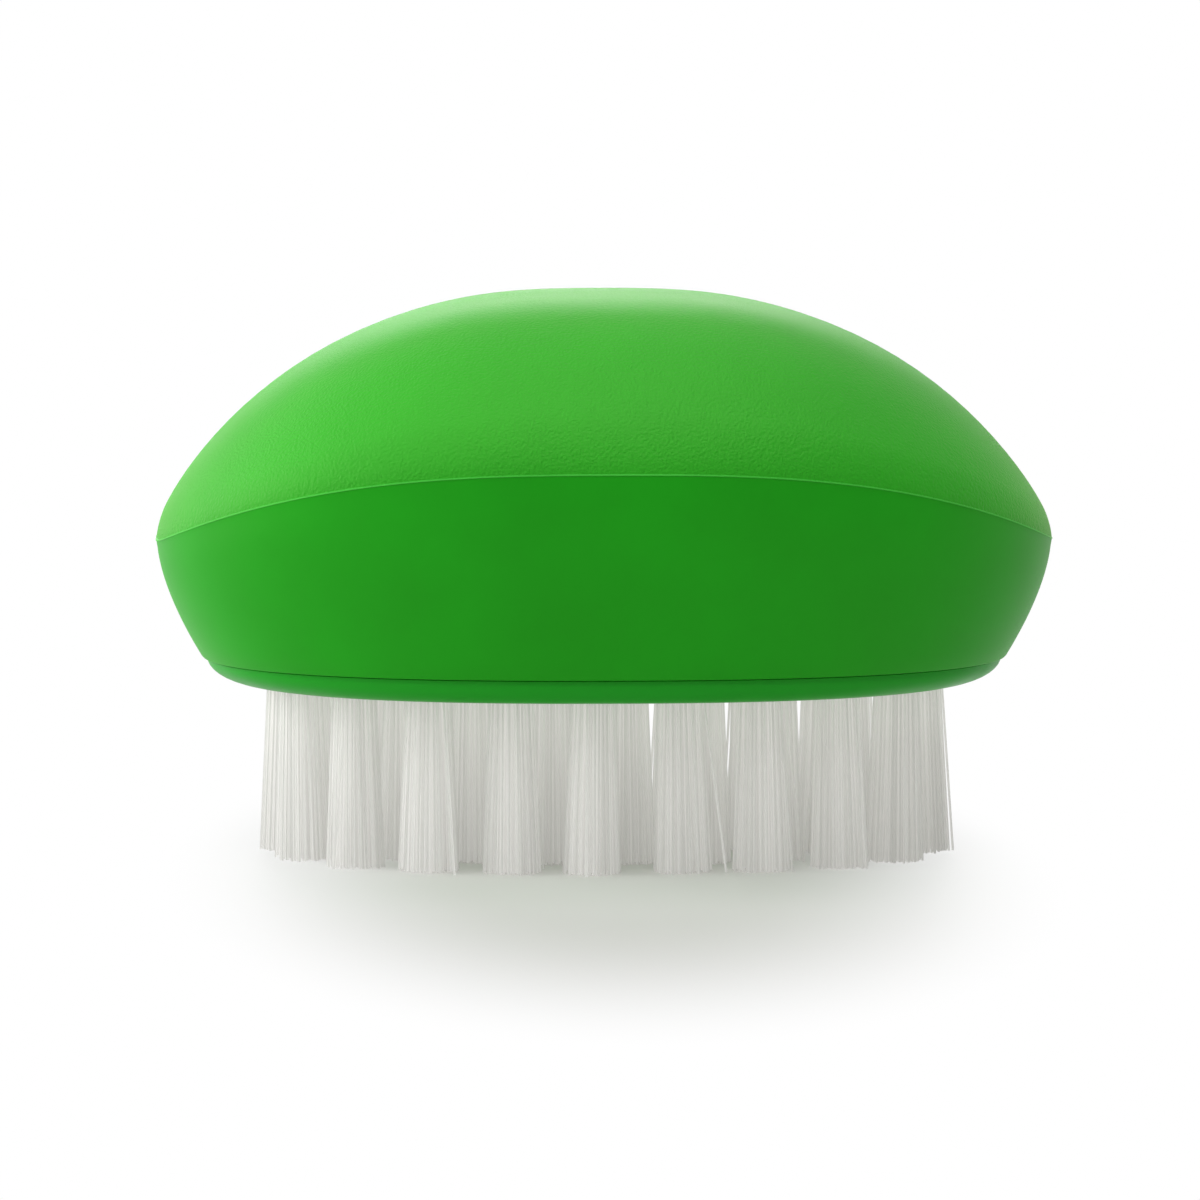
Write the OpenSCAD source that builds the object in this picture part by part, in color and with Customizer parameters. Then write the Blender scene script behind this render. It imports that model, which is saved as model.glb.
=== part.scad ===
// Palm-held vegetable brush: a soft skin moulded over a hard hollow core, closed below by a
// drilled block whose nylon tufts are held by metal anchors. It stands on its bristle tips.
// X runs along the body and Z is up. The origin is on the ground under the middle of the body.
// All sizes are in millimetres.

/* [Grip] */
// Length of the body at the parting line, where it is widest
body_length = 89.8; // [82:0.2:104]
// Width of the body at the parting line
body_width = 64; // [60:0.2:76]
// Squareness of the oval plan, where 2 is an ellipse
plan_power = 2.4; // [2.1:0.05:2.8]
// Height of the flank at the two ends, from the seam to the parting line
flank_height = 11.9; // [10:0.1:16]
// How far the flank draws in between the parting line and the seam
flank_inset = 4.5; // [3:0.1:6]
// How fast the flank curves in towards the seam
flank_curve = 1.6; // [1.2:0.1:2.2]
// How much higher the parting line is at the middle of each side than at the two ends
arch_rise = 9; // [5:0.1:12]
// How late the parting line drops towards the ends
arch_power = 2.7; // [2.2:0.1:3.2]
// How gently the parting line runs out at the ends
arch_ease = 0.82; // [0.7:0.02:1]
// Height of the crown above the middle of the parting line
crown_rise = 15.5; // [12:0.1:20]
// Fullness of the crown towards the ends
crown_power_end = 2.56; // [2.3:0.02:3]
// Fullness of the crown towards the sides
crown_power_side = 3.9; // [3:0.1:4.6]
// Steepness of the crown just above the brim at the ends: below 1 bulges, above 1 is hollow
crown_ease_end = 0.79; // [0.7:0.01:1]
// Steepness of the crown just above the brim at the sides: below 1 bulges, above 1 is hollow
crown_ease_side = 1.08; // [0.9:0.01:1.2]
// How closely the side shape keeps to the middle of each side
side_blend = 3.5; // [2:0.1:5]
// Radius of the rolled brim above the parting line at the ends
brim_radius_end = 0.9; // [0.5:0.1:2.5]
// Radius of the rolled brim above the parting line at the sides
brim_radius_side = 2.5; // [1.6:0.1:3.2]
// Thickness of the soft skin
skin_wall = 2.4; // [1.6:0.1:3]

/* [Core] */
// Thickness of the hard shell under the skin
core_wall = 2; // [1.4:0.1:2.6]
// Width of the lip that the bristle block snaps over, measured from the inside of the skin
lip_width = 3.1; // [2.4:0.1:3.4]
// Height of that lip
lip_height = 3; // [2:0.1:4]
// Thickness of the stiffening ribs
rib_thickness = 1.6; // [1:0.1:2.4]
// Distance of each cross rib from the middle of the body
cross_rib_offset = 14; // [8:0.5:20]
// Space between the foot of a rib's end and the side wall of the core
rib_margin = 1.6; // [1:0.1:4]

/* [Bristle block] */
// Height of the rounded edge that shows below the seam
edge_height = 2.3; // [1.6:0.1:4]
// How far that edge is rounded in at the two ends
edge_round_end = 4.8; // [2:0.1:5]
// How far that edge is rounded in at the middle of each side
edge_round_side = 1.7; // [1:0.1:3]
// How far the edge is set back from the skin above it
edge_step = 0.5; // [0:0.05:0.6]
// How far the snap ridge stands out from the upstand
snap_ridge = 0.6; // [0.4:0.05:1]
// Height of the snap ridge
snap_height = 1.2; // [0.8:0.1:1.6]
// Thickness of the block above the blind ends of the tuft holes
hole_roof = 3; // [2:0.1:5]

/* [Tufts] */
// Free length of the bristles below the block
bristle_length = 17.5; // [12:0.5:25]
// Number of tufts in the ring along the edge
outer_tufts = 20; // [16:1:20]
// Place of the first outer tuft, as a share of the distance between two tufts
outer_phase = 0.82; // [0:0.02:1]
// Number of tufts in the ring inside it
middle_tufts = 15; // [10:1:15]
// Place of the first middle tuft, as a share of the distance between two tufts
middle_phase = 0.5; // [0:0.02:1]
// Number of tufts in the row along the middle
centre_tufts = 5; // [3:1:5]
// Distance from one ring of tufts to the next
ring_spacing = 8.3; // [7.4:0.1:8.6]
// Width of block left between the outer tuft holes and the side of the upstand
hole_edge = 0.8; // [0.6:0.1:1.6]
// Diameter of a tuft hole
hole_diameter = 4.2; // [3.4:0.1:4.4]
// Depth of a tuft hole
hole_depth = 7.5; // [6:0.1:9]
// Diameter to which a tuft has spread at its tips
tip_diameter = 5.9; // [4.4:0.1:6.4]
// Width of one bristle strand across its corners at its root
strand_root_width = 0.66; // [0.4:0.02:0.66]
// Width of one bristle strand across its corners at its tip
strand_tip_width = 1.1; // [0.5:0.05:1.2]
// How deep the bound root of a tuft sits above the mouth of its hole
root_recess = 0.3; // [0.1:0.1:1]

/* [Tuft anchors] */
// Width of the flat clip that holds a tuft down
anchor_width = 3.5; // [2.8:0.1:3.5]
// Height of the clip
anchor_height = 1.8; // [1.2:0.1:2.2]
// Thickness of the clip
anchor_thickness = 0.4; // [0.3:0.05:0.6]
// Length of tuft that folds over the clip
fold_height = 1.4; // [1:0.1:1.8]

/* [Clearances] */
// Gap between the skin and the core
skin_gap = 0.2; // [0.1:0.05:0.3]
// Gap at the seam, between the grip and the edge of the block
seam_gap = 0.2; // [0.1:0.05:0.4]
// Gap between the block's upstand and the lip of the core, and between its snap ridge and that lip
block_gap = 0.25; // [0.15:0.05:0.35]
// Gap between the ribs and the top of the block
rib_gap = 0.2; // [0.1:0.05:0.4]
// Gap between the root of a tuft and its hole
root_gap = 0.15; // [0.05:0.05:0.2]
// Gap between an anchor and the tuft that it holds
anchor_gap = 0.1; // [0.05:0.05:0.15]

/* [Hidden] */
SEGMENTS = 60;
BRIM_STEPS = 3;
CROWN_STEPS = 11;
INNER_STEPS = 8;
FLANK_STEPS = 4;
EDGE_STEPS = 4;
RIB_STEPS = 20;
ARC_SAMPLES = 180;
CAVITY_TAPER = 0.6;
CUT_OVERLAP = 1;
INNER_BRIM = 0.3;
STRAND_SIDES = 4;
STRAND_BITE = 1;
TUFT_TURN = 47;
STRAND_CIRCLES = [[0, 1], [0.5, 4], [1, 7]];
ROUND = 20;

half_length = body_length / 2;
half_width = body_width / 2;
underside_z = bristle_length;
seam_z = underside_z + edge_height;
grip_base_z = seam_z + seam_gap;
end_parting_z = seam_z + flank_height;
crown_z = end_parting_z + arch_rise + crown_rise;
core_inset = skin_wall + skin_gap;
cavity_inset = core_inset + core_wall;
upstand_inset = flank_inset + core_inset + lip_width + block_gap;
upstand_size = [half_length - upstand_inset, half_width - upstand_inset];
edge_size = [half_length - flank_inset - edge_step, half_width - flank_inset - edge_step];
lip_top_z = grip_base_z + lip_height;
ridge_z = lip_top_z + block_gap;
hole_top_z = underside_z + hole_depth;
block_top_z = hole_top_z + hole_roof;
rib_base_z = block_top_z + rib_gap;
root_radius = hole_diameter / 2 - root_gap;
root_z = underside_z + root_recess;
anchor_z = hole_top_z - root_gap - fold_height - anchor_height;
outer_inset = hole_edge + hole_diameter / 2;
outer_ring = upstand_size - [outer_inset, outer_inset];
middle_ring = outer_ring - [ring_spacing, ring_spacing];
row_reach = middle_ring.x - ring_spacing;

function mix(low, high, share) = low + (high - low) * share;

// A point of the oval plan of half size 1, at angle t
function unit_oval(t) = [
    sign(cos(t)) * pow(abs(cos(t)), 2 / plan_power),
    sign(sin(t)) * pow(abs(sin(t)), 2 / plan_power)
];

UNIT_RING = [for (i = [0:SEGMENTS - 1]) unit_oval(360 * i / SEGMENTS)];

// A level oval ring
function oval_ring(size, z) = [for (u = UNIT_RING) [size.x * u.x, size.y * u.y, z]];

// Height of the parting line in the direction u of the plan
function parting_z(u) =
    end_parting_z + arch_rise * pow(max(0, 1 - pow(abs(u.x), arch_power)), arch_ease);

// A point of the flank, at a share of its height and an inset from the outer surface
function flank_point(u, share, inset) =
    let (draw = flank_inset * pow(1 - share, flank_curve) + inset)
    [
        (half_length - draw) * u.x,
        (half_width - draw) * u.y,
        mix(grip_base_z, parting_z(u), share)
    ];

function flank_ring(share, inset) = [for (u = UNIT_RING) flank_point(u, share, inset)];

// A point of the flank at one height
function level_flank_point(u, z, inset) =
    flank_point(u, (z - grip_base_z) / (parting_z(u) - grip_base_z), inset);

// The flank's ring at one height all round
function level_flank_ring(z, inset) = [for (u = UNIT_RING) level_flank_point(u, z, inset)];

// How much the direction u of the plan belongs to the side shape, from 0 at the ends to 1 at the sides
function side_share(u) = pow(abs(u.y), side_blend);

function brim_at(u, inset) =
    max(mix(brim_radius_end, brim_radius_side, side_share(u)) - inset, INNER_BRIM);

// Brim radius as a share of the distance from the axis to the parting line
function brim_share(u, inset) =
    brim_at(u, inset) / norm([(half_length - inset) * u.x, (half_width - inset) * u.y]);

// A point of the dome, where share runs from 0 on the axis to 1 at the parting line
function dome_point(u, share, inset) =
    let (brim = brim_at(u, inset))
    let (edge = min(1, (1 - share) / brim_share(u, inset)))
    let (roll = brim * sqrt(1 - pow(1 - edge, 2)))
    let (power = mix(crown_power_end, crown_power_side, side_share(u)))
    let (ease = mix(crown_ease_end, crown_ease_side, side_share(u)))
    let (rise = crown_z - inset - parting_z(u) - brim)
    [
        (half_length - inset) * share * u.x,
        (half_width - inset) * share * u.y,
        parting_z(u) + roll + rise * pow(max(0, 1 - pow(share, power)), ease)
    ];

// A ring of the rolled brim, at an angle up its round
function brim_ring(angle, inset) = [
    for (u = UNIT_RING) dome_point(u, 1 - brim_share(u, inset) * (1 - cos(angle)), inset)
];

// A ring of the crown, at an angle that runs from 0 on the axis to 90 at the inner edge of the brim
function crown_ring(angle, inset) = [
    for (u = UNIT_RING) dome_point(u, sin(angle) * (1 - brim_share(u, inset)), inset)
];

// Height of the dome above a point of the plan
function dome_z(x, y, inset) =
    let (u = [abs(x) / (half_length - inset), abs(y) / (half_width - inset)])
    let (share = pow(pow(u.x, plan_power) + pow(u.y, plan_power), 1 / plan_power))
    dome_point(share > 0 ? u / share : [1, 0], share, inset).z;

// The rings of a wall inside the outer surface, from the crown down to the parting line
function inner_rings(inset) = [
    for (i = [1:INNER_STEPS]) crown_ring(90 * i / INNER_STEPS, inset),
    flank_ring(1, inset)
];

function reversed(list) = [for (i = [len(list) - 1:-1:0]) list[i]];

// A closed solid through a list of rings, from a point at its start to a point at its end
module loft(start, rings, finish) {
    n = SEGMENTS;
    last = len(rings) - 1;
    points = [start, for (ring = rings) each ring, finish];
    faces = [
        for (i = [0:n - 1]) [0, 1 + i, 1 + (i + 1) % n],
        for (k = [0:last - 1], i = [0:n - 1])
            let (a = 1 + k * n + i)
            let (b = 1 + k * n + (i + 1) % n)
            each [[a, a + n, b + n], [a, b + n, b]],
        for (i = [0:n - 1]) [1 + last * n + i, len(points) - 1, 1 + last * n + (i + 1) % n]
    ];
    polyhedron(points, faces, convexity = 6);
}

// The soft rubber over-mould: dome, rolled brim and flank
module grip_skin() {
    color([0.25, 0.66, 0.2])
        loft(
            [0, 0, crown_z - skin_wall],
            concat(
                inner_rings(skin_wall),
                [for (i = [1:FLANK_STEPS]) flank_ring(1 - i / FLANK_STEPS, skin_wall)],
                [for (i = [0:FLANK_STEPS]) flank_ring(i / FLANK_STEPS, 0)],
                [for (i = [1:BRIM_STEPS]) brim_ring(90 * i / BRIM_STEPS, 0)],
                [for (i = [1:CROWN_STEPS - 1]) crown_ring(90 - 90 * i / CROWN_STEPS, 0)]
            ),
            [0, 0, crown_z]
        );
}

// A place along a rib, closer to the next towards the rib's ends, where the ceiling drops fastest
function along_rib(half_span, i) = half_span * cos(180 * i / RIB_STEPS);

// One stiffening rib: a plate hung from the ceiling of the core down to the block
module rib(half_span, heights) {
    top = [for (i = [0:RIB_STEPS]) [along_rib(half_span, i), heights[i]]];
    linear_extrude(height = rib_thickness, center = true)
        polygon(concat([[-half_span, rib_base_z], [half_span, rib_base_z]], top));
}

// The hard shell inside the skin, with its snap lip and ribs
module grip_core() {
    root_inset = core_inset + core_wall / 2;
    cross_reach = cross_rib_offset / (half_length - cavity_inset);
    cross_way = [cross_reach, pow(1 - pow(cross_reach, plan_power), 1 / plan_power)];
    long_span = level_flank_point([1, 0], rib_base_z, cavity_inset).x - rib_margin;
    cross_span = level_flank_point(cross_way, rib_base_z, cavity_inset).y - rib_margin;
    color([0.86, 0.88, 0.86]) {
        loft(
            [0, 0, crown_z - cavity_inset],
            concat(
                inner_rings(cavity_inset),
                [
                    flank_ring(CAVITY_TAPER, cavity_inset),
                    level_flank_ring(lip_top_z, cavity_inset),
                    oval_ring(upstand_size + [block_gap, block_gap], lip_top_z),
                    oval_ring(upstand_size + [block_gap, block_gap], grip_base_z)
                ],
                [for (i = [0:FLANK_STEPS - 1]) flank_ring(i / FLANK_STEPS, core_inset)],
                reversed(inner_rings(core_inset))
            ),
            [0, 0, crown_z - core_inset]
        );
        rotate([90, 0, 0])
            rib(
                long_span,
                [for (i = [0:RIB_STEPS]) dome_z(along_rib(long_span, i), 0, root_inset)]
            );
        for (x = [-cross_rib_offset, cross_rib_offset])
            translate([x, 0, 0])
                rotate([90, 0, 90])
                    rib(
                        cross_span,
                        [for (i = [0:RIB_STEPS]) dome_z(x, along_rib(cross_span, i), root_inset)]
                    );
    }
}

// A ring of the block's rounded lower edge, from the underside at 0 to the seam at 90
function edge_ring(angle) = oval_ring(
    edge_size - [edge_round_end, edge_round_side] * (1 - sin(angle)),
    seam_z - edge_height * cos(angle)
);

// The hard block: rounded edge, upstand with its snap ridge, and the blind tuft holes
module bristle_block() {
    ridge_size = upstand_size + [snap_ridge, snap_ridge];
    color([0.16, 0.6, 0.16])
        difference() {
            loft(
                [0, 0, underside_z],
                concat(
                    [for (i = [0:EDGE_STEPS]) edge_ring(90 * i / EDGE_STEPS)],
                    [
                        oval_ring(upstand_size, seam_z),
                        oval_ring(upstand_size, ridge_z),
                        oval_ring(ridge_size, ridge_z),
                        oval_ring(ridge_size, ridge_z + snap_height / 2),
                        oval_ring(upstand_size, ridge_z + snap_height),
                        oval_ring(upstand_size, block_top_z)
                    ]
                ),
                [0, 0, block_top_z]
            );
            for (tuft = TUFTS)
                translate([tuft[1].x, tuft[1].y, underside_z - CUT_OVERLAP])
                    cylinder(h = hole_depth + CUT_OVERLAP, d = hole_diameter, $fn = ROUND);
        }
}

// One metal clip in each tuft hole
module tuft_anchors() {
    color([0.8, 0.8, 0.78])
        for (tuft = TUFTS)
            translate([tuft[1].x - anchor_width / 2, tuft[1].y - anchor_thickness / 2, anchor_z])
                cube([anchor_width, anchor_thickness, anchor_height]);
}

// One strand: a straight bundle of filaments that widens towards its tip, level at both ends
module strand(root, tip) {
    top_z = root_z + STRAND_BITE;
    n = STRAND_SIDES;
    corners = [for (i = [0:n - 1]) [cos(360 * i / n), sin(360 * i / n)] / 2];
    points = [
        for (c = corners) [each tip + strand_tip_width * c, 0],
        for (c = corners) [each root + strand_root_width * c, top_z]
    ];
    faces = [
        for (i = [0:n - 1])
            let (j = (i + 1) % n)
            each [[i, i + n, j + n], [i, j + n, j]],
        for (i = [1:n - 2]) each [[0, i, i + 1], [n, n + i + 1, n + i]]
    ];
    polyhedron(points, faces);
}

// One tuft: the bound root in its hole, with a slot for its anchor, and the strands that spread from it
module tuft(place, turn) {
    root_reach = root_radius - strand_root_width / 2;
    tip_reach = (tip_diameter - strand_tip_width) / 2;
    slot = [hole_diameter, anchor_thickness + 2 * anchor_gap, anchor_height + 2 * anchor_gap];
    color([0.93, 0.94, 0.92])
        translate([place.x, place.y, 0]) {
            difference() {
                translate([0, 0, root_z])
                    cylinder(h = hole_top_z - root_gap - root_z, r = root_radius, $fn = ROUND);
                translate([-slot.x / 2, -slot.y / 2, anchor_z - anchor_gap])
                    cube(slot);
            }
            for (circle = STRAND_CIRCLES, i = [0:circle[1] - 1])
                let (angle = turn + 360 * i / circle[1])
                let (way = circle[0] * [cos(angle), sin(angle)])
                strand(root_reach * way, tip_reach * way);
        }
}

// Angles against the distance run along an oval, for placing tufts evenly
function arc_table(size) =
    let (steps = [
        for (i = [0:ARC_SAMPLES - 1])
            let (a = unit_oval(360 * i / ARC_SAMPLES))
            let (b = unit_oval(360 * (i + 1) / ARC_SAMPLES))
            norm([size.x * (b.x - a.x), size.y * (b.y - a.y)])
    ])
    [
        for (i = 0, run = 0; i <= ARC_SAMPLES; run = run + (i < ARC_SAMPLES ? steps[i] : 0), i = i + 1)
            [run, 360 * i / ARC_SAMPLES]
    ];

// Places of a ring's tufts, spaced evenly along an oval
function ring_places(size, count, phase) =
    let (table = arc_table(size))
    let (round_trip = table[ARC_SAMPLES][0])
    [
        for (i = [0:count - 1])
            let (u = unit_oval(lookup(round_trip * (i + phase) / count, table)))
            [size.x * u.x, size.y * u.y]
    ];

function row_places(half_span, count) = [
    for (i = [0:count - 1]) [mix(-half_span, half_span, i / (count - 1)), 0]
];

function numbered(name, i) = str(name, i < 9 ? "_0" : "_", i + 1);

// Every tuft of a ring or row: its node's name, its place on the block, and its turn
function named_tufts(name, places) = [
    for (i = [0:len(places) - 1]) [numbered(name, i), places[i], TUFT_TURN * i]
];

TUFTS = concat(
    named_tufts("tuft_outer", ring_places(outer_ring, outer_tufts, outer_phase)),
    named_tufts("tuft_middle", ring_places(middle_ring, middle_tufts, middle_phase)),
    named_tufts("tuft_centre", row_places(row_reach, centre_tufts))
);

grip_skin();
grip_core();
bristle_block();
tuft_anchors();
for (t = TUFTS)
    tuft(t[1], t[2]);
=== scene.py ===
# The palm-held vegetable brush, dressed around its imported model: the hard core, the soft skin over it,
# the drilled block that closes it below, the metal anchors, and the nylon tufts that they hold.
import math

import bmesh
import bpy
import numpy as np
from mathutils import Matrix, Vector


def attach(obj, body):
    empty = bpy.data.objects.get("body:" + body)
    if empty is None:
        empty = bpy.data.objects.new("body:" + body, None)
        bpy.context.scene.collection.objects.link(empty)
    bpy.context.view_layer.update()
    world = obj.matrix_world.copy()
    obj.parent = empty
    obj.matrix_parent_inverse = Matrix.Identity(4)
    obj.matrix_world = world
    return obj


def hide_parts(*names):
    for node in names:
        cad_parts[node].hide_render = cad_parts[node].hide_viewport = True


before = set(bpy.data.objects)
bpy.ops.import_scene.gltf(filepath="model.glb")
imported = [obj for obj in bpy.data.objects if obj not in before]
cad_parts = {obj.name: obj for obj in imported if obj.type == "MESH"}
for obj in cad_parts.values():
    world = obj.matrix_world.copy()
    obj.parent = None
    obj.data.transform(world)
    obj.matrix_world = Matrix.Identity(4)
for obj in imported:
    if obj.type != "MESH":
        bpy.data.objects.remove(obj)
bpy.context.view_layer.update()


# Grip core
# The hard hollow shell inside the grip, with its snap lip and ribs. It is moulded in white polypropylene, and
# the skin is then moulded over it, so that nothing of it shows.
CORE_WHITE = (0.72, 0.75, 0.72, 1)
CORE_ROUGHNESS, CORE_PATCH = (0.42, 0.58), 0.004
CORE_GRAIN, CORE_GRAIN_DEPTH = 0.0006, 0.00001
NOISE_ENDS = (0.3, 0.7)


def new_material(name, colour, roughness=0.5):
    """A material, its shader with that colour and roughness, and its Object coordinates."""
    material = bpy.data.materials.new(name)
    material.use_nodes = True
    shader = material.node_tree.nodes["Principled BSDF"]
    shader.inputs["Base Color"].default_value = colour
    shader.inputs["Roughness"].default_value = roughness
    coordinates = material.node_tree.nodes.new("ShaderNodeTexCoord")
    return material, shader, coordinates.outputs["Object"]


def add_noise(material, place, cell, detail=2.0):
    """A noise pattern whose cells are about that wide, in metres."""
    noise = material.node_tree.nodes.new("ShaderNodeTexNoise")
    noise.inputs["Scale"].default_value = 1 / cell
    noise.inputs["Detail"].default_value = detail
    material.node_tree.links.new(place, noise.inputs["Vector"])
    return noise.outputs["Fac"]


def add_range(owner, value, ends, onto):
    """A node that turns the range between two ends of a pattern into another range."""
    scale = owner.node_tree.nodes.new("ShaderNodeMapRange")
    for socket, number in zip(("From Min", "From Max", "To Min", "To Max"), (*ends, *onto)):
        scale.inputs[socket].default_value = number
    owner.node_tree.links.new(value, scale.inputs["Value"])
    return scale


def vary_roughness(material, shader, place, patch, onto):
    """Varies the roughness over that range, in patches of about that width."""
    scale = add_range(material, add_noise(material, place, patch), NOISE_ENDS, onto)
    material.node_tree.links.new(scale.outputs["Result"], shader.inputs["Roughness"])


def add_grain(material, shader, place, grain, depth, detail=2.0):
    """Relief of that depth, in grains of about that width."""
    bump = material.node_tree.nodes.new("ShaderNodeBump")
    bump.inputs["Distance"].default_value = depth
    material.node_tree.links.new(add_noise(material, place, grain, detail), bump.inputs["Height"])
    material.node_tree.links.new(bump.outputs["Normal"], shader.inputs["Normal"])


def add_tint(material, shader, value, first, second):
    """Colours the surface between two close tones by a pattern."""
    tones = material.node_tree.nodes.new("ShaderNodeValToRGB")
    for element, end, colour in zip(tones.color_ramp.elements, NOISE_ENDS, (first, second)):
        element.position = end
        element.color = colour
    material.node_tree.links.new(value, tones.inputs["Fac"])
    material.node_tree.links.new(tones.outputs["Color"], shader.inputs["Base Color"])


def give_material(piece, *materials):
    """Gives a piece its materials. Clearing them resets which face has which, so an empty list is left."""
    if len(piece.data.materials) > 0:
        piece.data.materials.clear()
    for material in materials:
        piece.data.materials.append(material)


core_plastic, core_shader, core_place = new_material("moulded polypropylene", CORE_WHITE)
vary_roughness(core_plastic, core_shader, core_place, CORE_PATCH, CORE_ROUGHNESS)
add_grain(core_plastic, core_shader, core_place, CORE_GRAIN, CORE_GRAIN_DEPTH)
give_material(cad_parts["grip_core"], core_plastic)


# Grip skin
# The soft green rubber that the hand holds: a grained dome with a rolled brim, and a smoother flank below it.
# It is one moulding, and a fine flash line shows where the two halves of its mould met.
HALF_LENGTH, HALF_WIDTH = 0.0449, 0.032
PLAN_POWER = 2.4
GRIP_BASE, END_PARTING, CROWN = 0.02, 0.0317, 0.0562
ARCH_RISE, ARCH_POWER, ARCH_EASE = 0.009, 2.7, 0.82
FLANK_INSET, FLANK_CURVE, FLANK_EASE = 0.0045, 1.6, 0.00005
FOOT_SHARE, FOOT_INSET = 0.012, 0.00006
END_SHAPE = (0.0009, 2.56, 0.79)
SIDE_SHAPE = (0.0025, 3.9, 1.08)
SIDE_BLEND, LEAST_BRIM = 3.5, 0.0003
SKIN_WALL = 0.0024
SKIN_ROWS = 48
CAP_SHARE = 0.5
CROWN_ROWS, BRIM_ROWS, FLANK_ROWS, INNER_FLANK_ROWS = 18, 8, 19, 10
FLASH_ROWS = [(0.00003, 0.00008), (0.00015, 0.00008), (0.00017, 0.00002)]
# The dome's green is painted a little lighter and redder than the flank's. This is painted sheen and light on
# its upper face, since the skin is one rubber.
DOME_GREEN_WITH_PAINTED_SHEEN = ((0.012, 0.405, 0.008, 1), (0.01, 0.375, 0.007, 1))
SATIN_GREEN = ((0.0008, 0.385, 0.004, 1), (0.0005, 0.345, 0.003, 1))
# The flash line's green is a painted highlight, much lighter than the rubber, where its ridge catches the
# light.
FLASH_HIGHLIGHT_GREEN = ((0.05, 0.58, 0.05, 1), (0.04, 0.52, 0.04, 1))
GLOSS_TINT = (1, 1, 0.6, 1)
SHEEN_TINT = (0.9, 1, 0.45, 1)
SKIN_PATCH, SKIN_GRAIN = 0.012, 0.0003
NEARLY = 0.9999


def oval(turn):
    """A point of the oval plan of half size 1."""
    x, y = math.cos(turn), math.sin(turn)
    return (
        math.copysign(abs(x) ** (2 / PLAN_POWER), x),
        math.copysign(abs(y) ** (2 / PLAN_POWER), y),
    )


def parting_height(u):
    """Height of the flash line in the direction u of the plan."""
    return END_PARTING + ARCH_RISE * max(0, 1 - abs(u[0]) ** ARCH_POWER) ** ARCH_EASE


def flank_place(u, share, inset, drop=0.0):
    """A point of the flank, at a share of its height, an inset and a drop."""
    draw = FLANK_INSET * (1 - share) ** FLANK_CURVE + inset
    height = GRIP_BASE + (parting_height(u) - GRIP_BASE) * share
    return (HALF_LENGTH - draw) * u[0], (HALF_WIDTH - draw) * u[1], height - drop


def dome_place(u, ring, inset):
    """A point of the dome. Ring runs from 0 on the axis to 1 at the brim, and to 2 at the flash line."""
    side = abs(u[1]) ** SIDE_BLEND
    brim, power, ease = (a + (b - a) * side for a, b in zip(END_SHAPE, SIDE_SHAPE))
    brim = max(brim - inset, LEAST_BRIM)
    length, width = HALF_LENGTH - inset, HALF_WIDTH - inset
    edge = brim / math.hypot(length * u[0], width * u[1])
    if ring <= 1:
        share = ring * (1 - edge)
        roll = brim
    else:
        turn = (ring - 1) * math.pi / 2
        share = 1 - edge * (1 - math.sin(turn))
        roll = brim * math.cos(turn)
    rise = CROWN - inset - parting_height(u) - brim
    height = parting_height(u) + roll + rise * max(0, 1 - share**power) ** ease
    return length * share * u[0], width * share * u[1], height


def outer_place(u, row):
    """A point of the skin's outside, in rows from the edge of its cap down to its base."""
    if row <= CROWN_ROWS:
        turn = math.asin(CAP_SHARE) + (math.pi / 2 - math.asin(CAP_SHARE)) * row / CROWN_ROWS
        return dome_place(u, math.sin(turn), 0)
    row -= CROWN_ROWS
    if row <= BRIM_ROWS:
        return dome_place(u, 1 + row / BRIM_ROWS, 0)
    row -= BRIM_ROWS
    if row <= len(FLASH_ROWS):
        drop, proud = FLASH_ROWS[row - 1]
        return flank_place(u, 1, -proud, drop)
    row -= len(FLASH_ROWS)
    if row == FLANK_ROWS:
        return flank_place(u, 0, FOOT_INSET)
    if row == FLANK_ROWS - 1:
        return flank_place(u, FOOT_SHARE, 0)
    share = 1 - row / FLANK_ROWS
    return flank_place(u, share, FLANK_EASE * share, FLASH_ROWS[-1][0] * share)


def inner_place(u, row, rows):
    """A point of the skin's inside, in rows from its base up to the middle of its ceiling."""
    if row <= INNER_FLANK_ROWS:
        return flank_place(u, (row - 1) / (INNER_FLANK_ROWS - 1), SKIN_WALL)
    share = (rows - row) / (rows - INNER_FLANK_ROWS)
    return dome_place(u, math.sin(math.pi / 2 * share), SKIN_WALL)


def square_turn(x, y):
    """The turn about the axis of a point on the outline of a square of half size 1."""
    if abs(x) >= abs(y):
        return (0 if x > 0 else math.pi) + math.copysign(1, x) * y * math.pi / 4
    return math.copysign(math.pi / 2, y) - math.copysign(1, y) * x * math.pi / 4


def add_in_edit_mode(add, **sizes):
    """Adds a primitive with nothing else selected, and leaves it selected in edit mode."""
    bpy.ops.object.select_all(action="DESELECT")
    add(**sizes)
    bpy.ops.object.mode_set(mode="EDIT")
    return bpy.context.object


def finish_mesh(piece, name, angle):
    """Closes and smooths a piece that is in edit mode, and names it."""
    bpy.ops.mesh.select_all(action="SELECT")
    bpy.ops.mesh.remove_doubles(threshold=1e-7)
    bpy.ops.mesh.normals_make_consistent(inside=False)
    bpy.ops.object.mode_set(mode="OBJECT")
    bpy.ops.object.shade_smooth_by_angle(angle=math.radians(angle))
    piece.name = piece.data.name = name


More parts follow.
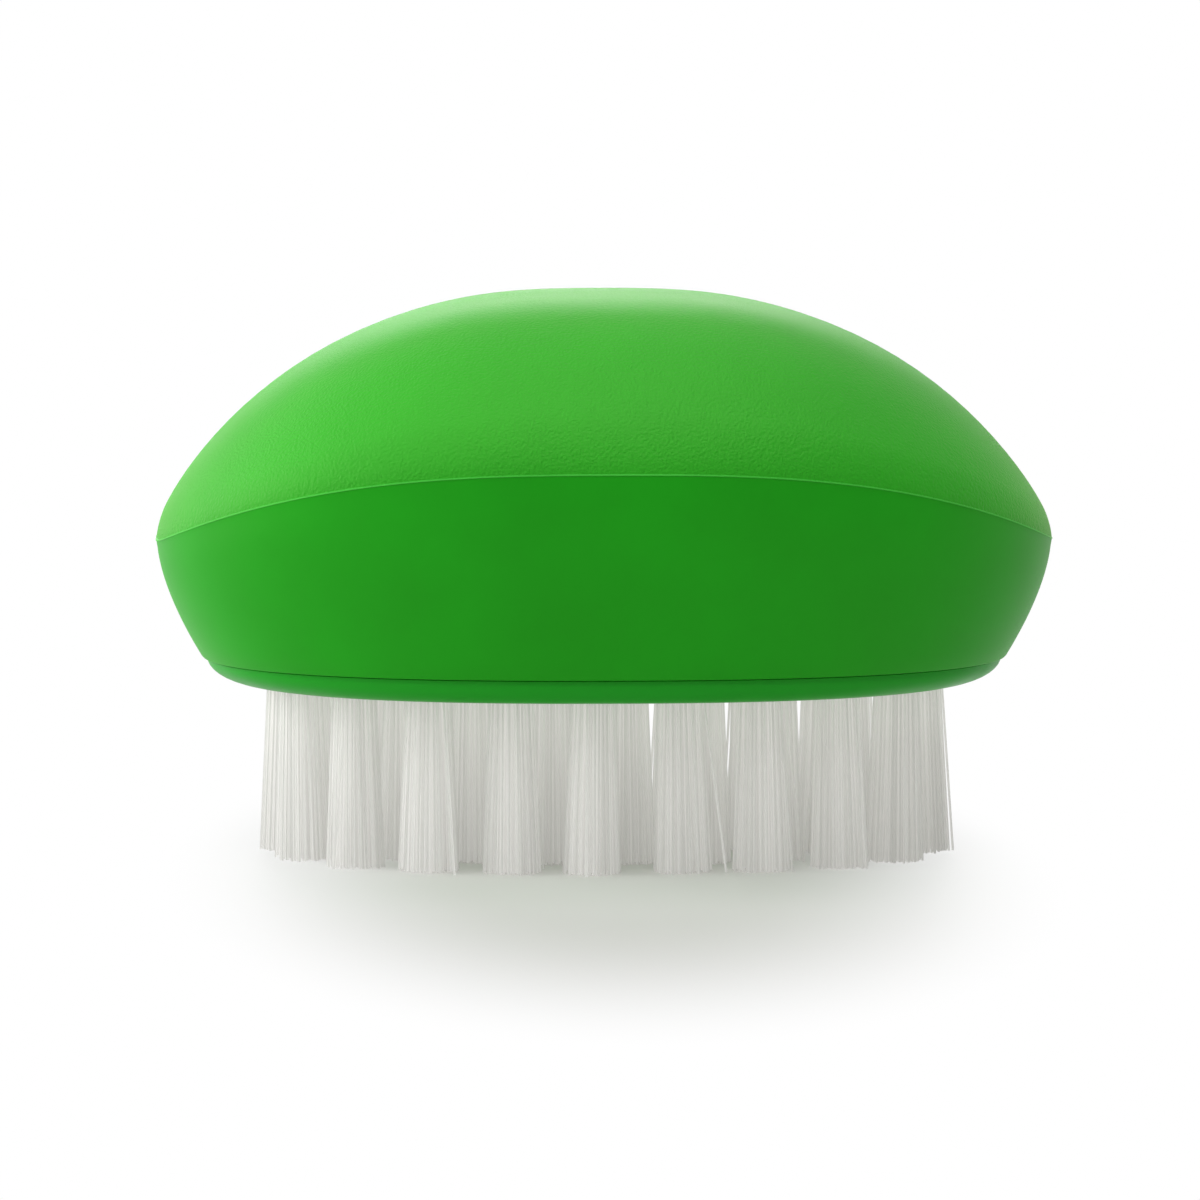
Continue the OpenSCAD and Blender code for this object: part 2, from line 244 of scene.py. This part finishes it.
skin = add_in_edit_mode(bpy.ops.mesh.primitive_cube_add, size=2)
bpy.ops.mesh.subdivide(number_cuts=SKIN_ROWS - 1)
skin_mesh = bmesh.from_edit_mesh(skin.data)
for face in skin_mesh.faces:
    row = (1 - face.calc_center_median().z) / 2 * SKIN_ROWS
    below = row - CROWN_ROWS - BRIM_ROWS
    face.material_index = 0 if below < 0 else 1 if below < len(FLASH_ROWS) - 1 else 2
for vertex in skin_mesh.verts:
    x, y, z = vertex.co
    reach = max(abs(x), abs(y))
    u = oval(square_turn(x / reach, y / reach)) if reach > 1 - NEARLY else (1, 0)
    if z > NEARLY:
        vertex.co = dome_place(u, reach * CAP_SHARE, 0)
    elif z > -NEARLY or reach > NEARLY:
        vertex.co = outer_place(u, round((1 - z) / 2 * SKIN_ROWS))
    else:
        vertex.co = inner_place(u, round((1 - reach) / 2 * SKIN_ROWS), SKIN_ROWS // 2)
bmesh.update_edit_mesh(skin.data)
finish_mesh(skin, "soft_skin", 30)


def add_skin_material(name, greens, roughness, gloss, sheen, grain_depth):
    """The dyed rubber, with that much gloss, a sheen of that weight and roughness, and a mould grain."""
    material, shader, place = new_material(name, greens[0], roughness)
    shader.inputs["Specular IOR Level"].default_value = gloss
    shader.inputs["Specular Tint"].default_value = GLOSS_TINT
    shader.inputs["Sheen Weight"].default_value = sheen[0]
    shader.inputs["Sheen Roughness"].default_value = sheen[1]
    shader.inputs["Sheen Tint"].default_value = SHEEN_TINT
    add_tint(material, shader, add_noise(material, place, SKIN_PATCH, detail=4), greens[1], greens[0])
    add_grain(material, shader, place, SKIN_GRAIN, grain_depth, detail=3)
    return material


# The dome's rubber: a real grain, and a colour that holds painted sheen and light.
grained_rubber = add_skin_material(
    "grained rubber", DOME_GREEN_WITH_PAINTED_SHEEN, roughness=0.58, gloss=0.42, sheen=(0.16, 0.45), grain_depth=0.00012
)
satin_rubber = add_skin_material(
    "satin rubber", SATIN_GREEN, roughness=0.5, gloss=0.28, sheen=(0.06, 0.5), grain_depth=0.000004
)
# The flash line's rubber is painted light, as a highlight on its ridge.
flash_highlight_rubber = add_skin_material(
    "flash line with painted highlight", FLASH_HIGHLIGHT_GREEN, roughness=0.55, gloss=0.5, sheen=(0.1, 0.4), grain_depth=0.00001
)
give_material(skin, grained_rubber, flash_highlight_rubber, satin_rubber)
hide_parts("grip_skin")
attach(skin, "root")


# Bristle block
# The hard green plate that snaps into the core and closes the grip. Its lower edge is rounded, more at the
# two ends than at the sides, and each tuft has its own blind hole in it, with a slightly broken edge.
UNDERSIDE, SEAM = 0.0175, 0.01991
EDGE_REACH = (0.0399, 0.027)
EDGE_ROUND = (0.0048, 0.0017)
EDGE_ROWS = 10
EDGE_BREAK = 0.00006
UPSTAND_REACH = (0.03445, 0.02155)
RIDGE_REACH = (0.03505, 0.02215)
RIDGE_LOW, RIDGE_MIDDLE, RIDGE_TOP = 0.02325, 0.02385, 0.02445
BLOCK_TOP = 0.028
HOLE_RADIUS, HOLE_TOP, HOLE_BREAK = 0.0021, 0.025, 0.0002
MOUTH_RADIUS = HOLE_RADIUS + 2 * HOLE_BREAK
DRILL_SIDES = 24
BLOCK_GREEN = (0.0125, 0.37, 0.015, 1)
BLOCK_GLOSS = 0.15
BLOCK_ROUGHNESS, BLOCK_PATCH = (0.34, 0.44), 0.006
BLOCK_GRAIN, BLOCK_GRAIN_DEPTH = 0.0005, 0.000004
WITHIN_HOLE = 0.003
TUFTS = sorted(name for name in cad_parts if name.startswith("tuft_") and name != "tuft_anchors")


def tuft_axis(node):
    """Where a tuft stands on the block, from its bound root."""
    root = [v.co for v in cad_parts[node].data.vertices if v.co.z > UNDERSIDE + WITHIN_HOLE]
    return tuple((min(p[i] for p in root) + max(p[i] for p in root)) / 2 for i in (0, 1))


def extrude_rings(rings):
    """Raises the selected face through rings, each with its two half sizes and its height."""
    for last, ring in zip(rings, rings[1:]):
        bpy.ops.mesh.extrude_region_move(TRANSFORM_OT_translate={"value": (0, 0, ring[2] - last[2])})
        bpy.ops.transform.resize(
            value=(ring[0] / last[0], ring[1] / last[1], 1), center_override=(0, 0, 0)
        )


block_rings = []
for row in range(EDGE_ROWS):
    turn = math.pi / 2 * row / EDGE_ROWS
    reach = [e - r * (1 - math.sin(turn)) for e, r in zip(EDGE_REACH, EDGE_ROUND)]
    block_rings.append((*reach, SEAM - (SEAM - UNDERSIDE) * math.cos(turn)))
block_rings.append((*EDGE_REACH, SEAM - EDGE_BREAK))
block_rings.append((*(reach - EDGE_BREAK for reach in EDGE_REACH), SEAM))
block_rings.append((*UPSTAND_REACH, SEAM))
block_rings.append((*UPSTAND_REACH, RIDGE_LOW))
block_rings.append((*RIDGE_REACH, RIDGE_LOW))
block_rings.append((*RIDGE_REACH, RIDGE_MIDDLE))
block_rings.append((*UPSTAND_REACH, RIDGE_TOP))
block_rings.append((*UPSTAND_REACH, BLOCK_TOP))

block = add_in_edit_mode(
    bpy.ops.mesh.primitive_circle_add, vertices=4 * SKIN_ROWS, radius=1, fill_type="NGON"
)
block_mesh = bmesh.from_edit_mesh(block.data)
for vertex in block_mesh.verts:
    u = oval(math.atan2(vertex.co.y, vertex.co.x))
    vertex.co = (block_rings[0][0] * u[0], block_rings[0][1] * u[1], UNDERSIDE)
bmesh.update_edit_mesh(block.data)
extrude_rings(block_rings)
finish_mesh(block, "drilled_block", 30)

drill = add_in_edit_mode(
    bpy.ops.mesh.primitive_circle_add, vertices=DRILL_SIDES, radius=MOUTH_RADIUS, fill_type="NGON"
)
bpy.ops.transform.translate(value=(0, 0, UNDERSIDE - HOLE_BREAK))
extrude_rings(
    [
        (MOUTH_RADIUS, MOUTH_RADIUS, UNDERSIDE - HOLE_BREAK),
        (HOLE_RADIUS, HOLE_RADIUS, UNDERSIDE + HOLE_BREAK),
        (HOLE_RADIUS, HOLE_RADIUS, HOLE_TOP),
    ]
)
finish_mesh(drill, "drill", 30)
drills = []
for node in TUFTS:
    copy = bpy.data.objects.new("drill_" + node, drill.data.copy())
    bpy.context.scene.collection.objects.link(copy)
    copy.location = (*tuft_axis(node), 0)
    drills.append(copy)
bpy.data.objects.remove(drill)
bpy.ops.object.select_all(action="DESELECT")
for copy in drills:
    copy.select_set(True)
bpy.context.view_layer.objects.active = drills[0]
bpy.ops.object.join()
bpy.ops.object.transform_apply(location=True)
drills = bpy.context.object

bpy.ops.object.select_all(action="DESELECT")
block.select_set(True)
bpy.context.view_layer.objects.active = block
cut = block.modifiers.new("holes", "BOOLEAN")
cut.object = drills
cut.operation = "DIFFERENCE"
cut.solver = "EXACT"
bpy.ops.object.modifier_apply(modifier=cut.name)
bpy.data.objects.remove(drills)
bpy.ops.object.shade_smooth_by_angle(angle=math.radians(30))

block_plastic, block_shader, block_place = new_material("hard green plastic", BLOCK_GREEN)
block_shader.inputs["Specular IOR Level"].default_value = BLOCK_GLOSS
vary_roughness(block_plastic, block_shader, block_place, BLOCK_PATCH, BLOCK_ROUGHNESS)
add_grain(block_plastic, block_shader, block_place, BLOCK_GRAIN, BLOCK_GRAIN_DEPTH)
give_material(block, block_plastic)
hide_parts("bristle_block")
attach(block, "root")


# Tuft anchors
# One short piece of rolled stainless strip in each hole. A tufting machine drives it in across the folded
# filaments, and it holds them by biting into the walls of the hole.
STEEL = (0.62, 0.62, 0.6, 1)
STEEL_ROUGHNESS, STEEL_PATCH = (0.28, 0.42), 0.0005
anchor_steel, anchor_shader, anchor_place = new_material("rolled steel strip", STEEL)
anchor_shader.inputs["Metallic"].default_value = 1
vary_roughness(anchor_steel, anchor_shader, anchor_place, STEEL_PATCH, STEEL_ROUGHNESS)
give_material(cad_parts["tuft_anchors"], anchor_steel)


# Bristle tufts
# Stiff nylon filaments, folded in half over their anchor and driven into a hole. They leave it side by side,
# splay towards their tips, and are trimmed level. Each tuft has its own filaments, bent a little at random.
FILAMENTS = 150
FILAMENT_RADIUS = 0.000122
FILAMENT_SIDES = 5
STRAY_SHARE, STRAY_REACH = 0.07, 0.0008
ROOT_REACH, TIP_REACH = 0.00193, 0.0029
SPLAY_POWER, LEAN, TIP_SCATTER, BOW, TRIM = 0.65, 0.00022, 0.00014, 0.00008, 0.00012
MOUTH = 0.0181
FOLD, ANCHOR_FOOT = 0.0247, 0.0212
ANCHOR_SIDE = 0.00036
HEIGHTS = [0, 0.0045, 0.009, 0.0135, MOUTH, ANCHOR_FOOT, FOLD]
GOLDEN_TURN = math.pi * (3 - math.sqrt(5))
NYLON = (0.965, 0.96, 0.945, 1)
NYLON_DULL = (0.74, 0.745, 0.72, 1)
NYLON_CLEARNESS = 0.6
NYLON_LETS_BY = 0.88
NYLON_LIT = (0.735, 0.73, 0.7, 1)
NYLON_UNLIT = 0.45
NYLON_DIMMED, NYLON_BRIGHTEST, NYLON_BRIGHT_FROM = 0.7, 1.04, 0.014
NYLON_ROUGHNESS, NYLON_IOR = 0.22, 1.53

filament = add_in_edit_mode(
    bpy.ops.mesh.primitive_cylinder_add, vertices=FILAMENT_SIDES, radius=1, depth=2, end_fill_type="NGON"
)
filament_mesh = bmesh.from_edit_mesh(filament.data)
for edge in filament_mesh.edges:
    edge.select_set(abs(edge.verts[0].co.z - edge.verts[1].co.z) > 1)
filament_mesh.select_flush_mode()
bmesh.update_edit_mesh(filament.data)
bpy.ops.mesh.subdivide(number_cuts=len(HEIGHTS) - 2)
bpy.ops.object.mode_set(mode="OBJECT")
repeat = filament.modifiers.new("filaments", "ARRAY")
repeat.count = FILAMENTS
repeat.use_relative_offset = False
bpy.ops.object.modifier_apply(modifier=repeat.name)
bpy.ops.object.shade_smooth_by_angle(angle=math.radians(80))
shape = np.array([v.co for v in filament.data.vertices]).reshape(FILAMENTS, -1, 3)
levels = np.rint((shape[0, :, 2] + 1) / 2 * (len(HEIGHTS) - 1)).astype(int)


def mix(owner, share, first, second):
    """Two surfaces in one. The share of the second is a number or a pattern."""
    mixed = owner.node_tree.nodes.new("ShaderNodeMixShader")
    if isinstance(share, float):
        mixed.inputs["Fac"].default_value = share
    else:
        owner.node_tree.links.new(share, mixed.inputs["Fac"])
    owner.node_tree.links.new(first, mixed.inputs[1])
    owner.node_tree.links.new(second, mixed.inputs[2])
    return mixed.outputs["Shader"]


nylon, nylon_shader, nylon_place = new_material("clear nylon", NYLON, NYLON_ROUGHNESS)
nylon_shader.inputs["IOR"].default_value = NYLON_IOR
nodes, links = nylon.node_tree.nodes, nylon.node_tree.links
shade = nodes.new("ShaderNodeAttribute")
shade.attribute_name = "filament_shade"
add_tint(nylon, nylon_shader, shade.outputs["Fac"], NYLON_DULL, NYLON)
through = nodes.new("ShaderNodeBsdfTranslucent")
through.inputs["Color"].default_value = NYLON
surface = mix(nylon, NYLON_CLEARNESS, nylon_shader.outputs["BSDF"], through.outputs["BSDF"])

# Light takes more turns through a tuft than a path may have, so a filament shows itself to its neighbours as
# already lit, dimmer near the floor, and it lets most of the light by.
path = nodes.new("ShaderNodeLightPath")
apart = nodes.new("ShaderNodeSeparateXYZ")
links.new(nylon_place, apart.inputs["Vector"])
lit = nodes.new("ShaderNodeEmission")
lit.inputs["Color"].default_value = NYLON_LIT
brightness = add_range(
    nylon, apart.outputs["Z"], (0, NYLON_BRIGHT_FROM), (NYLON_DIMMED, NYLON_BRIGHTEST)
)
links.new(brightness.outputs["Result"], lit.inputs["Strength"])
unlit = add_range(nylon, path.outputs["Is Camera Ray"], (0, 1), (NYLON_UNLIT, 1))
surface = mix(nylon, unlit.outputs["Result"], lit.outputs["Emission"], surface)
lets_by = add_range(nylon, path.outputs["Is Shadow Ray"], (0, 1), (0, NYLON_LETS_BY))
clear = nodes.new("ShaderNodeBsdfTransparent")
surface = mix(nylon, lets_by.outputs["Result"], surface, clear.outputs["BSDF"])
links.new(surface, nodes["Material Output"].inputs["Surface"])

draw = np.random.default_rng(3)
sunflower = np.arange(FILAMENTS)
for node in TUFTS:
    axis = np.array(tuft_axis(node))
    reach = np.sqrt((sunflower + 0.5) / FILAMENTS)
    turn = sunflower * GOLDEN_TURN + draw.uniform(0, math.tau)
    way = np.stack([np.cos(turn), np.sin(turn)], 1)
    root = way * (reach * ROOT_REACH)[:, None]
    lean = draw.normal(0, LEAN, 2)
    tip = way * (reach * TIP_REACH)[:, None] + draw.normal(0, TIP_SCATTER, (FILAMENTS, 2)) + lean
    stray = draw.random(FILAMENTS) < STRAY_SHARE
    tip[stray] += draw.normal(0, STRAY_REACH, (stray.sum(), 2))
    bow = draw.normal(0, BOW, (FILAMENTS, 2))
    pinched = root.copy()
    pinched[:, 1] = np.sign(root[:, 1]) * (ANCHOR_SIDE + np.abs(root[:, 1]) * (1 - ANCHOR_SIDE / ROOT_REACH))
    trim = np.abs(draw.normal(0, TRIM, FILAMENTS))
    trim[0] = 0
    points = np.empty_like(shape)
    for level, height in enumerate(HEIGHTS):
        at = levels == level
        along = 1 - min(1, height / MOUTH)
        splayed = root + (tip - root) * along**SPLAY_POWER + bow * math.sin(math.pi * along)
        middle = pinched if height > MOUTH else splayed
        points[:, at, :2] = axis + middle[:, None] + shape[:, at, :2] * FILAMENT_RADIUS
        points[:, at, 2] = trim[:, None] if level == 0 else height
    tuft = bpy.data.objects.new(node.replace("tuft", "bristles"), filament.data.copy())
    tuft.data.name = tuft.name
    bpy.context.scene.collection.objects.link(tuft)
    tuft.data.vertices.foreach_set("co", points.astype(np.float32).ravel())
    tones = tuft.data.attributes.new("filament_shade", "FLOAT", "POINT")
    tones.data.foreach_set("value", np.repeat(draw.random(FILAMENTS), shape.shape[1]).astype(np.float32))
    tuft.data.update()
    give_material(tuft, nylon)
    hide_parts(node)
    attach(tuft, "root")
bpy.data.objects.remove(filament)


# Studio
# A white sweep that keeps the soft shadow under the brush, and softboxes all round, of which the strongest is
# on the left. The camera stands low in front of the long side, before a dark wall. All else is white.
FLOOR_WHITE = (0.66, 0.655, 0.63, 1)
SHADOW_PLACE = (0, -0.02)
SHADOW_REACH = (0.045, 0.125)
SHADOW_FADE = 0.3
BEHIND_FROM = -0.2
FLOOR_ROUGHNESS, FLOOR_GLOSS = 0.6, 0.1
WALL_PAINT, WALL_ROUGHNESS = (0.02, 0.02, 0.02, 1), 0.9
WALL_DISTANCE = 1.7
SURROUNDINGS = 0.1
CAMERA_PLACE, CAMERA_AIM = (-0.0333, -1.0423, 0.1271), (-0.00039, 0, 0.02528)
CAMERA_LENS = 312.71
SOFTBOX_AIM = (0, 0, 0.03)


def combine(owner, operation, first, second):
    """One pattern from two, by a mathematical operation."""
    math_node = owner.node_tree.nodes.new("ShaderNodeMath")
    math_node.operation = operation
    owner.node_tree.links.new(first, math_node.inputs[0])
    owner.node_tree.links.new(second, math_node.inputs[1])
    return math_node.outputs["Value"]


bpy.ops.object.select_all(action="DESELECT")
bpy.ops.mesh.primitive_plane_add(size=12)
floor = bpy.context.object
floor.name = "floor"
sweep, sweep_shader, sweep_place = new_material("white sweep", FLOOR_WHITE, FLOOR_ROUGHNESS)
sweep_shader.inputs["Specular IOR Level"].default_value = FLOOR_GLOSS
nodes, links = sweep.node_tree.nodes, sweep.node_tree.links

# The camera sees the floor's own shade in an oval round the brush, which fades into plain white. Glossy and
# transmission rays see the plain white behind the brush only.
within = nodes.new("ShaderNodeMapping")
within.vector_type = "TEXTURE"
within.inputs["Location"].default_value = (*SHADOW_PLACE, 0)
within.inputs["Scale"].default_value = (*SHADOW_REACH, 1)
links.new(sweep_place, within.inputs["Vector"])
distance = nodes.new("ShaderNodeVectorMath")
distance.operation = "LENGTH"
links.new(within.outputs["Vector"], distance.inputs[0])
far = add_range(sweep, distance.outputs["Value"], (SHADOW_FADE, 1), (0, 1))
far.interpolation_type = "SMOOTHSTEP"
apart = nodes.new("ShaderNodeSeparateXYZ")
links.new(sweep_place, apart.inputs["Vector"])
behind = add_range(sweep, apart.outputs["Y"], (BEHIND_FROM, 0), (0, 1))
path = nodes.new("ShaderNodeLightPath")
passed_on = combine(sweep, "MAXIMUM", path.outputs["Is Glossy Ray"], path.outputs["Is Transmission Ray"])
passed_on = combine(sweep, "MULTIPLY", passed_on, behind.outputs["Result"])
seen = combine(sweep, "MAXIMUM", path.outputs["Is Camera Ray"], passed_on)
seen = combine(sweep, "MULTIPLY", seen, far.outputs["Result"])
paper = nodes.new("ShaderNodeEmission")
surface = mix(sweep, seen, sweep_shader.outputs["BSDF"], paper.outputs["Emission"])
links.new(surface, nodes["Material Output"].inputs["Surface"])
give_material(floor, sweep)

bpy.ops.object.select_all(action="DESELECT")
bpy.ops.mesh.primitive_plane_add(size=10, location=(0, -WALL_DISTANCE, 0), rotation=(math.pi / 2, 0, 0))
bpy.ops.object.transform_apply(location=True, rotation=True)
wall = bpy.context.object
wall.name = "studio wall"
wall.visible_camera = False
give_material(wall, new_material("dark wall paint", WALL_PAINT, WALL_ROUGHNESS)[0])

world = bpy.data.worlds.new("white studio")
world.use_nodes = True
bpy.context.scene.world = world
nodes, links = world.node_tree.nodes, world.node_tree.links
path = nodes.new("ShaderNodeLightPath")
shown = combine(world, "MAXIMUM", path.outputs["Is Glossy Ray"], path.outputs["Is Transmission Ray"])
shown = combine(world, "MAXIMUM", path.outputs["Is Camera Ray"], shown)
strength = add_range(world, shown, (0, 1), (SURROUNDINGS, 1))
links.new(strength.outputs["Result"], nodes["Background"].inputs["Strength"])
nodes["Background"].inputs["Color"].default_value = (1, 1, 1, 1)


def aim(thing, place, target):
    """Puts a lamp or camera in its place and turns it to a point."""
    thing.location = place
    thing.rotation_euler = (Vector(target) - Vector(place)).to_track_quat("-Z", "Y").to_euler()


def add_softbox(name, place, size, power):
    """A square softbox that looks at the brush."""
    light = bpy.data.lights.new(name, "AREA")
    light.size = size
    light.energy = power
    lamp = bpy.data.objects.new(name, light)
    bpy.context.scene.collection.objects.link(lamp)
    lamp.visible_camera = False
    aim(lamp, place, SOFTBOX_AIM)


add_softbox("left softbox", (-1.2, 0, 0.4), 1, 12.8)
add_softbox("left front softbox", (-0.8, -0.8, 0.5), 0.8, 2.2)
add_softbox("left back softbox", (-1.05, 0.7, 0.35), 0.6, 2)
add_softbox("right softbox", (1.2, 0, 0.4), 1, 1.25)
add_softbox("top softbox", (0, 0, 1.3), 1, 3.8)
add_softbox("front softbox", (0, -0.7, 1.1), 0.8, 7.8)
add_softbox("low back softbox", (0, 1.3, 0.27), 0.4, 3)

camera = bpy.data.objects.new("camera", bpy.data.cameras.new("camera"))
bpy.context.scene.collection.objects.link(camera)
bpy.context.scene.camera = camera
aim(camera, CAMERA_PLACE, CAMERA_AIM)
camera.data.lens = CAMERA_LENS
camera.data.clip_start, camera.data.clip_end = 0.01, 20
bpy.context.scene.view_settings.view_transform = "Standard"
